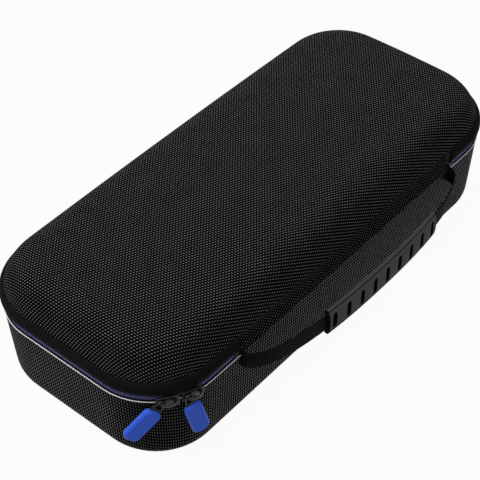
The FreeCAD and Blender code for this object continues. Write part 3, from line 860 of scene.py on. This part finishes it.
def makeSlider(name, side):
    half, high, low = slider["length"] / 2, slider["above"], -slider["below"]
    middle = (high + low) / 2
    outline = []
    for y, z in roundedLoop(-half, half, low, high, slider["round"], slider["roundSteps"]):
        narrow = slider["taper"] * (0.5 + side * y / slider["length"])
        outline.append((y, middle + (z - middle) * (1 - narrow * 2 / (high - low))))
    low, high = slider["plateIn"], slider["plateOut"]
    stops = [(low, 0.25), (low + 0.2, 0.0), (high - 0.4, 0.0), (high - 0.12, 0.14), (high, 0.5)]
    parts = [plate(outline, (0.0, middle), stops), bridge(high)]
    # web through the gap of the zip, and the wing behind the tape
    wingOut, wingIn, edge = slider["wingOut"], slider["wingIn"], slider["wingEdge"]
    half, high = slider["webHalf"], slider["webHigh"]
    web = roundedLoop(-half, half, -high, high, slider["webRound"], slider["webSteps"])
    parts.append(plate(web, (0.0, 0.0), [(wingIn + edge, 0.0), (low + slider["webEnd"], 0.0)]))
    half = slider["wingHalf"]
    wing = roundedLoop(-half, half, slider["wingLow"], high, slider["wingRound"], slider["roundSteps"])
    stops = [(wingIn, edge), (wingIn + edge, 0.0), (wingOut - edge, 0.0), (wingOut, edge)]
    parts.append(plate(wing, (0.0, slider["wingMiddle"]), stops))
    points, faces = [], []
    for some, these in parts:
        faces += [tuple(i + len(points) for i in f) for f in these]
        points += some
    return addMesh(name, moved((points, faces), ontoCorner(side)), sliderFinish, sharp=45.0)


# pulls: a flat eye on the slider's leg and a bevelled grip moulded round its shank

pull = dict(linkIn=2.6, linkOut=3.8, eye=2.3, hole=1.25, loopWide=6.4, loopBar=1.4, loopSunk=1.0, edgeSteps=6,
            eyeSteps=20, tabStart=4.8, tabLength=22.5, tabWide=9.6, tabThick=3.4, tabRound=3.6, roundSteps=7,
            leastRound=0.4, bevel=0.9, back=2.2, leftLean=-40.0, rightLean=13.0)


def hang(side, lean):
    swing = Matrix.Translation((0, -slider["legAt"], 0)) @ Matrix.Rotation(math.radians(lean), 4, "X")
    return ontoCorner(side) @ swing


def eyeLoop(radius, halfLow, low):
    # along the straight lower edge, up one side, over the eye and down the other side
    shares = steps(0.0, 1.0, pull["edgeSteps"])[1:-1]
    loop = [(y, low) for y in steps(-halfLow, halfLow, pull["edgeSteps"])]
    loop += [(halfLow + (radius - halfLow) * t, low * (1 - t)) for t in shares]
    loop += [(radius * math.cos(t), radius * math.sin(t)) for t in steps(0.0, math.pi, pull["eyeSteps"])]
    loop += [(-radius + (radius - halfLow) * t, low * t) for t in shares]
    return loop


def makeLink(name, side, lean):
    low, high, half = pull["linkIn"], pull["linkOut"], pull["loopWide"] / 2
    outer = eyeLoop(pull["eye"], half, -pull["tabStart"] - pull["loopSunk"])
    inner = eyeLoop(pull["hole"], half - pull["eye"] + pull["hole"], -pull["tabStart"] + pull["loopBar"])
    # round the eye's section: how far out, and how far from the inner or the outer edge
    profile = [(low, 0.18, 0.0), (low, 0.0, 0.25), (low + 0.25, 0.0, 0.0), (high - 0.3, 0.0, 0.0),
               (high - 0.08, 0.0, 0.12), (high, 0.0, 0.32), (high, 0.25, 0.0), (high - 0.2, 0.0, None),
               (low + 0.2, 0.0, None)]
    rings = []
    for (iy, iz), (oy, oz) in zip(inner, outer):
        wide = math.dist((iy, iz), (oy, oz))
        ring = []
        for out, fromIn, fromOut in profile:
            share = fromIn / wide if fromIn or fromOut is None else 1 - fromOut / wide
            ring.append((out, iy + (oy - iy) * share, iz + (oz - iz) * share))
        rings.append(ring)
    return addMesh(name, moved(loft(rings, looped=True), hang(side, lean)), linkFinish)


def tabLoop(inset):
    half = pull["tabWide"] / 2 - inset
    top = -pull["tabStart"] - inset
    low = -pull["tabStart"] - pull["tabLength"] + inset
    radius = max(pull["tabRound"] - inset, pull["leastRound"])
    return roundedLoop(-half, half, low, top, radius, pull["roundSteps"])


def makeTab(name, side, lean):
    back, bevel = pull["back"], pull["bevel"]
    front = back + pull["tabThick"]
    # from the back over the bevel to the face, which is very slightly dished
    stops = [(back, 0.7), (back + 0.12, 0.3), (back + 0.4, 0.06), (back + 0.8, 0.0),
             (front - bevel - 0.15, 0.0), (front - bevel + 0.05, 0.12), (front - 0.14, bevel - 0.12),
             (front, bevel + 0.2), (front - 0.04, 2.2), (front - 0.08, 3.3)]
    rings = [[(out, y, z) for y, z in tabLoop(inset)] for out, inset in stops]
    return addMesh(name, moved(loft(rings), hang(side, lean)), pullFinish, sharp=50.0)


for word, side, lean in (("left", -1, pull["leftLean"]), ("right", 1, pull["rightLean"])):
    mount(makeSlider("slider_cast_" + word, side), word + "_slider", "slider_metal", "slider_" + word)
    mount(makeLink("pull_eye_" + word, side, lean), word + "_pull", "link_black", "pull_link_" + word)
    mount(makeTab("pull_grip_" + word, side, lean), word + "_pull", "pull_blue", "pull_tab_" + word)
print("sliders and pulls made")


# elastic hold-down strap in two tails on the floor of the tray

holdStrap = dict(wide=25.0, thick=1.5, slack=0.1, clear=0.05, edge=0.45, edgeSteps=3, rise=30.0, lap=24.0,
                 gap=0.5, wallSteps=8, bendSteps=8, floorSteps=12, liftSteps=3, liftStart=0.1)


def trayLine(sign, endY):
    # from the top of the tail on one wall, down round the foot of the wall and along the floor
    clear = holdStrap["clear"]
    bendRadius = case["footRadius"] - case["wall"] - clear
    line = []
    for z in steps(holdStrap["rise"], case["footRadius"], holdStrap["wallSteps"]):
        line.append((case["halfWidth"] - case["wall"] - baseInset(z) - clear, z))
    edgeY = line[-1][0] - bendRadius
    for angle in steps(0.0, 90.0, holdStrap["bendSteps"])[1:]:
        dy, dz = polar(bendRadius, angle)
        line.append((edgeY + dy, case["footRadius"] - dz))
    for share in steps(0.0, 1.0, holdStrap["floorSteps"])[1:]:
        line.append((edgeY + (endY * sign - edgeY) * share, case["wall"] + clear))
    return [(sign * y, z) for y, z in line]


def ribbon(name, line):
    # the line is the lower face, and the ribbon lies on it
    half = holdStrap["wide"] / 2
    loop = roundedLoop(0.0, holdStrap["thick"] - holdStrap["slack"], -half, half, holdStrap["edge"],
                       holdStrap["edgeSteps"])
    rings = []
    for n, (y, z) in enumerate(line):
        a, b = line[max(n - 1, 0)], line[min(n + 1, len(line) - 1)]
        way = Vector((b[0] - a[0], b[1] - a[1])).normalized()
        norm = Vector((-way.y, way.x))
        if norm.x * y > 0 or norm.y < -0.5:
            norm = -norm
        rings.append([(x, y + norm.x * o, z + norm.y * o) for o, x in loop])
    walked = runLengths(line)
    piece = addMesh(name, loft(rings), elasticFinish, sharp=60.0)
    markCloth(piece, [(x, w) for w in walked for o, x in loop])
    return piece, walked[-1]


halfLap = holdStrap["lap"] / 2
rearTail, rearLong = ribbon("hold_strap_hinge", trayLine(-1, halfLap))
mount(rearTail, "base", "elastic_black", "hold_strap_rear")
frontLine = trayLine(1, halfLap + holdStrap["gap"])
# the front tail climbs on to the rear one
liftYs = steps(frontLine[-1][0] - holdStrap["liftStart"], -halfLap, holdStrap["floorSteps"])
for k, y in enumerate(liftYs[1:], 1):
    raised = holdStrap["thick"] * min(k / holdStrap["liftSteps"], 1.0)
    frontLine.append((y, case["wall"] + holdStrap["clear"] + raised))
frontTail, frontLong = ribbon("hold_strap_front_tail", frontLine)
mount(frontTail, "base", "elastic_black", "hold_strap_front")
print("hold-down strap made, tails", round(rearLong), round(frontLong), "mm long")


# mesh pocket in the lid: a knitted net with six-sided holes, a sewn edge and an elastic hem

pocket = dict(low=57.05, thick=0.7, cell=3.6, hole=0.62, netIn=1.5, netStart=1.0, mouthY=-42.5, edgeIn=4.7,
              edgeWide=5.0, edgeDrop=0.1, edgeRise=1.1, edgeFold=0.1, edgeStep=4.0)


def insideNet(x, y, inset):
    if abs(x) <= cornerX or abs(y) <= cornerY:
        return abs(x) <= case["halfLength"] - inset and abs(y) <= case["halfWidth"] - inset
    return math.hypot(abs(x) - cornerX, abs(y) - cornerY) <= case["corner"] - inset


def makeNet():
    work = bmesh.new()
    known = {}

    def newVert(x, y):
        return work.verts.new((x * mm, y * mm, pocket["low"] * mm))

    def vert(x, y):
        key = (round(x, 2), round(y, 2))
        if key not in known:
            known[key] = newVert(x, y)
        return known[key]

    size = pocket["cell"] / math.sqrt(3)
    sixths = [math.radians(60 * k) for k in range(6)]
    around = [(size * math.sin(t), size * math.cos(t)) for t in sixths]
    limit = pocket["edgeIn"] + pocket["netIn"]
    hole = pocket["hole"]
    row = 0
    y = pocket["mouthY"] + pocket["netStart"]
    while y < case["halfWidth"]:
        x = -case["halfLength"] + (pocket["cell"] / 2 if row % 2 else 0.0)
        while x < case["halfLength"]:
            if all(insideNet(x + dx, y + dy, limit) for dx, dy in around):
                outerRing = [vert(x + dx, y + dy) for dx, dy in around]
                innerRing = [newVert(x + dx * hole, y + dy * hole) for dx, dy in around]
                for k in range(6):
                    m = (k + 1) % 6
                    work.faces.new((outerRing[k], outerRing[m], innerRing[m], innerRing[k]))
            x += pocket["cell"]
        y += size * 1.5
        row += 1
    mesh = bpy.data.meshes.new("pocket_net")
    storeWork(work, mesh)
    return thicken(addPiece("pocket_net", mesh, netFinish), pocket["thick"], 1.0)


pocketNet = makeNet()
mount(pocketNet, "lid", "mesh_black", "pocket_mesh")

edgeRun = [s for s in zipRun if spot(s, pocket["edgeIn"])[1] > pocket["mouthY"]]
lowZ, highZ = pocket["low"] - pocket["edgeDrop"], pocket["low"] + pocket["edgeRise"]
outerIn, innerIn, fold = pocket["edgeIn"], pocket["edgeIn"] + pocket["edgeWide"], pocket["edgeFold"]
section = [(outerIn, lowZ), (innerIn, lowZ + fold), (innerIn, highZ - fold), (outerIn, highZ)]
rings = [[(*spot(s, inset), z) for inset, z in section] for s in edgeRun]
netEdge = addMesh("pocket_edge", loft(rings), tapeFinish)
markCloth(netEdge, [(i * pocket["edgeStep"], inset) for i in range(len(edgeRun)) for inset, z in section])
mount(netEdge, "lid", "elastic_black")

hem = dict(low=-45.5, high=-39.5, middleZ=57.5, thick=2.4, edge=0.9, edgeSteps=3, endGap=0.3, gathers=120,
           perGather=3, wave=0.18, uneven=0.7, draw=0.03, body=0.9, swell=0.4)
reach = case["corner"] - pocket["edgeIn"]
halfHem = cornerX + math.sqrt(reach ** 2 - (abs(hem["low"]) - cornerY) ** 2) - hem["endGap"]
middleY, middleZ = (hem["low"] + hem["high"]) / 2, hem["middleZ"]
halfWide, halfThick = (hem["high"] - hem["low"]) / 2, hem["thick"] / 2
hemLoop = roundedLoop(-halfThick, halfThick, -halfWide, halfWide, hem["edge"], hem["edgeSteps"])
hemXs = steps(-halfHem, halfHem, hem["gathers"] * hem["perGather"])
rings = []
for n, x in enumerate(hemXs):
    pucker = hem["wave"] * math.sin(2 * math.pi * n / hem["perGather"]) * (1 if n % 2 else hem["uneven"])
    flatter, fuller = 1 - hem["draw"] * abs(pucker), hem["body"] + pucker * hem["swell"]
    rings.append([(x, middleY + y * flatter, middleZ + z * fuller) for z, y in hemLoop])
pocketHem = addMesh("pocket_hem_elastic", loft(rings), elasticFinish, sharp=60.0)
markCloth(pocketHem, [(x, y) for x in hemXs for z, y in hemLoop])
mount(pocketHem, "lid", "elastic_black", "pocket_hem")
print("mesh pocket made:", len(pocketNet.data.polygons), "faces")

# crimped stops at the ends of the zip keep their solid
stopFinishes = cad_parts["zip_stops"].data.materials
stopFinishes.clear()
stopFinishes.append(sliderFinish)


# floor, light and camera

stageSet = dict(floorHalf=3.0, floorDrop=0.0002, floorColour=(0.4, 0.4, 0.4), floorRough=0.9, seenShare=0.95,
                sky=0.35, aim=(0, 0, 0.04))


def seenRays(tree):
    path = tree.nodes.new("ShaderNodeLightPath")
    first = calc(tree, "MAXIMUM", path.outputs["Is Camera Ray"], path.outputs["Is Glossy Ray"])
    return calc(tree, "MAXIMUM", first, path.outputs["Is Transmission Ray"])


def stageFinish():
    finish, tree, shader = newFinish("stage_floor", Roughness=stageSet["floorRough"])
    shader.inputs["Base Color"].default_value = (*stageSet["floorColour"], 1.0)
    glow = tree.nodes.new("ShaderNodeEmission")
    glow.inputs["Color"].default_value = (1, 1, 1, 1)
    mix = tree.nodes.new("ShaderNodeMixShader")
    tree.links.new(calc(tree, "MULTIPLY", seenRays(tree), stageSet["seenShare"]), mix.inputs[0])
    tree.links.new(shader.outputs[0], mix.inputs[1])
    tree.links.new(glow.outputs[0], mix.inputs[2])
    tree.links.new(mix.outputs[0], tree.nodes["Material Output"].inputs["Surface"])
    return finish


half, drop = stageSet["floorHalf"], stageSet["floorDrop"]
corners = [(-half, -half, -drop), (half, -half, -drop), (half, half, -drop), (-half, half, -drop)]
floorMesh = bpy.data.meshes.new("floor")
floorMesh.from_pydata(corners, [], [(0, 1, 2, 3)])
addPiece("floor", floorMesh, stageFinish())

world = bpy.data.worlds.new("studio")
bpy.context.scene.world = world
world.use_nodes = True
tree = world.node_tree
back = tree.nodes["Background"]
back.inputs["Color"].default_value = (1, 1, 1, 1)
tree.links.new(choose(tree, seenRays(tree), stageSet["sky"], 1.0), back.inputs["Strength"])

lamps = [dict(name="key", at=(-0.45, 0.5, 1.2), size=1.1, power=14.5),
         dict(name="fill", at=(-0.9, -0.75, 0.9), size=0.7, power=1.5)]
for lamp in lamps:
    light = bpy.data.lights.new(lamp["name"], "AREA")
    light.energy = lamp["power"]
    light.size = lamp["size"]
    holder = addPiece(lamp["name"], light)
    holder.location = lamp["at"]
    way = Vector(stageSet["aim"]) - Vector(lamp["at"])
    holder.rotation_euler = way.to_track_quat("-Z", "Y").to_euler()

# the camera that the outline in the photo gave
view = dict(azimuth=-49.81, elevation=43.65, roll=-0.3, lens=106.5, sensor=36.0,
            at=(-0.4470, -0.3757, 0.5841), shiftX=-0.0254, shiftY=-0.0133)
lens = bpy.data.cameras.new("photo_view")
lens.lens = view["lens"]
lens.sensor_width = view["sensor"]
lens.shift_x = view["shiftX"]
lens.shift_y = view["shiftY"]
camera = addPiece("photo_view", lens)
az, el = math.radians(view["azimuth"]), math.radians(view["elevation"])
ahead = Vector((-math.sin(az) * math.cos(el), math.cos(az) * math.cos(el), -math.sin(el)))
roll = Matrix.Rotation(math.radians(view["roll"]), 3, "Z").to_quaternion()
camera.rotation_mode = "QUATERNION"
camera.rotation_quaternion = ahead.to_track_quat("-Z", "Y") @ roll
camera.location = view["at"]
bpy.context.scene.camera = camera
bpy.context.scene.view_settings.view_transform = "Standard"
print("stage, lamps and camera set")
